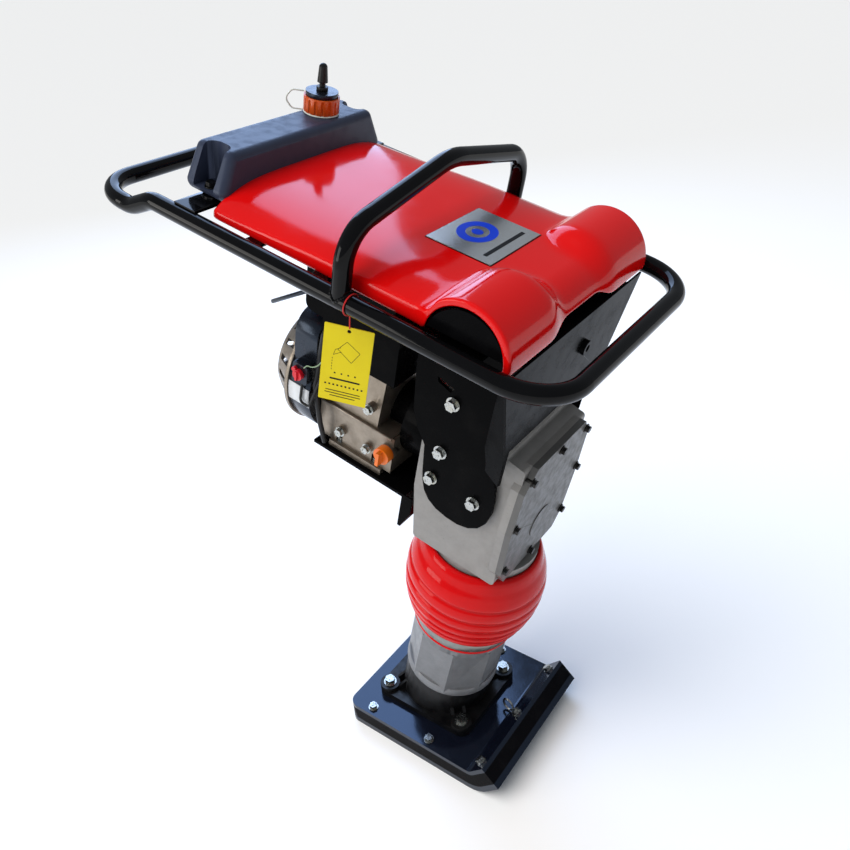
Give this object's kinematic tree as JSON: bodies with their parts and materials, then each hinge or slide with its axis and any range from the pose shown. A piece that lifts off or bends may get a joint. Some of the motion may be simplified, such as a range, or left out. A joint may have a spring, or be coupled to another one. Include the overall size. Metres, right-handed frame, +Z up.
{
  "type": "tamping rammer",
  "caption": "Upright tamping rammer: flat shoe, leaning spring leg with bellows, crankcase with rear engine, loop handle with lift arch, red hood and rear fuel tank.",
  "frame": {"origin": "on the ground below the leg, in the plane of the shoe's sole", "axes": "+Z up, +X forwards to the turned-up toe, +Y to the machine's left"},
  "size_m": [0.7659, 0.4317, 1.1492],
  "materials": {
    "frame_black": "gloss black tube",
    "plate_black": "satin black sheet",
    "hood_red": "gloss red",
    "shoe_blue_black": "gloss blue-black",
    "cast_black": "painted black casting",
    "sole_black": "matte black",
    "leg_grey": "grey painted casting",
    "case_grey": "grey painted casting",
    "bellows_red": "glossy red rubber",
    "zinc": "zinc plated",
    "dark_bolt": "blackened steel",
    "steel": "machined steel",
    "alu": "die cast",
    "badge_silver": "brushed",
    "tank_grey": "moulded dark grey",
    "cap_orange": "orange",
    "rubber_black": "black rubber",
    "tether_white": "white",
    "plastic_black": "black moulding",
    "plastic_red": "red",
    "dip_orange": "orange",
    "tag_yellow": "yellow card",
    "string_red": "red string",
    "air_black": "black"
  },
  "bodies": {
    "foot": {"shoe_plate": "shoe_blue_black", "shoe_core": "sole_black", "shoe_sole": "shoe_blue_black", "shoe_bolts": "zinc", "foot_casting": "cast_black", "foot_bolts": "zinc", "spring_cylinder": "leg_grey", "lower_clamp": "zinc"},
    "machine": {"piston": "steel", "ram_springs": "steel", "bellows": "bellows_red", "crankcase": "case_grey", "guide_tube": "steel", "crankcase_cover": "case_grey", "cover_bolts": "dark_bolt", "pinion_bearing": "steel", "side_plate_right": "plate_black", "side_plate_left": "plate_black", "rubber_mounts": "rubber_black", "flange_bolts": "zinc", "front_panel": "plate_black", "handle_frame": "frame_black", "lift_arch": "frame_black", "hood": "hood_red", "badge_plate": "badge_silver", "air_cleaner": "air_black", "fuel_tank": "tank_grey", "tank_bolts": "dark_bolt", "tank_brackets": "frame_black", "cap_tether": "tether_white", "engine_base": "plate_black", "engine_block": "alu", "clutch_housing": "plate_black", "cylinder": "alu", "plug_boot": "rubber_black", "fan_housing": "plastic_black", "starter_cover": "alu", "switch_body": "plastic_black", "engine_cowl": "plate_black", "carburettor": "alu", "muffler": "steel", "hoses": "rubber_black", "fuel_cock": "plastic_black", "throttle_clamp": "plastic_black", "cables": "rubber_black"},
    "crank": {"crank_gear": "steel"},
    "rod": {"connecting_rod": "steel"},
    "clutch_drum": {"pinion": "steel"},
    "engine_rotor": {"engine_shaft": "steel"},
    "cap": {"fuel_cap": "cap_orange", "cap_disc": "plastic_black", "vent_stem": "rubber_black"},
    "switch": {"switch_knob": "plastic_red"},
    "grip": {"starter_grip": "plastic_black"},
    "dipstick": {"dipstick": "dip_orange"},
    "tap": {"fuel_tap": "plastic_red"},
    "throttle": {"throttle_lever": "plastic_red"},
    "choke": {"choke_rod": "plastic_black"},
    "tag": {"hang_tag": "tag_yellow", "tag_string": "string_red"}
  },
  "joints": [
    {"name": "ram_slide", "type": "slide", "parent": "foot", "child": "machine", "axis": [0.2334, 0, 0.9724], "range_m": [0, 0.065], "deforming": ["bellows", "ram_springs"]},
    {"name": "crank_turn", "type": "hinge", "parent": "machine", "child": "crank", "pos_m": [0.10539, 0, 0.55013], "axis": [0.9724, 0, -0.2334], "continuous": true},
    {"name": "rod_pivot", "type": "hinge", "parent": "crank", "child": "rod", "pos_m": [0.09769, 0, 0.51804], "axis": [0.9724, 0, -0.2334], "continuous": true},
    {"name": "drum_turn", "type": "hinge", "parent": "machine", "child": "clutch_drum", "pos_m": [0.1236, 0, 0.62598], "axis": [0.9724, 0, -0.2334], "continuous": true},
    {"name": "engine_turn", "type": "hinge", "parent": "machine", "child": "engine_rotor", "pos_m": [-0.11949, 0, 0.68434], "axis": [0.9724, 0, -0.2334], "continuous": true},
    {"name": "cap_turn", "type": "hinge", "parent": "machine", "child": "cap", "pos_m": [-0.23296, 0.071, 1.09415], "axis": [0.2334, 0, 0.9724], "range_deg": [0, 360]},
    {"name": "switch_turn", "type": "hinge", "parent": "machine", "child": "switch", "pos_m": [-0.17145, -0.112, 0.74206], "axis": [0, 1, 0], "range_deg": [0, 60]},
    {"name": "starter_pull", "type": "slide", "parent": "machine", "child": "grip", "axis": [0, 1, 0], "range_m": [0, 0.5], "stiffness_N_per_m": 20},
    {"name": "dipstick_turn", "type": "hinge", "parent": "machine", "child": "dipstick", "pos_m": [-0.03844, -0.09, 0.62786], "axis": [0, 1, 0], "range_deg": [0, 360]},
    {"name": "fuel_tap_turn", "type": "hinge", "parent": "machine", "child": "tap", "pos_m": [-0.22721, 0.119, 0.99816], "axis": [0, 1, 0], "range_deg": [0, 90]},
    {"name": "throttle_turn", "type": "hinge", "parent": "machine", "child": "throttle", "pos_m": [-0.28477, 0.164, 1.00683], "axis": [0, 1, 0], "range_deg": [0, 60]},
    {"name": "choke_pull", "type": "slide", "parent": "machine", "child": "choke", "axis": [0.9237, 0, 0.3831], "range_m": [-0.012, 0]},
    {"name": "tag_swing", "type": "hinge", "parent": "machine", "child": "tag", "pos_m": [0.03027, -0.2, 0.9312], "axis": [0.9724, 0, -0.2334], "range_deg": [-20, 20]}
  ],
  "couplings": [
    {"joint": "drum_turn", "follows": "crank_turn", "ratio": -2.7143},
    {"joint": "rod_pivot", "follows": "crank_turn", "ratio": -1}
  ]
}
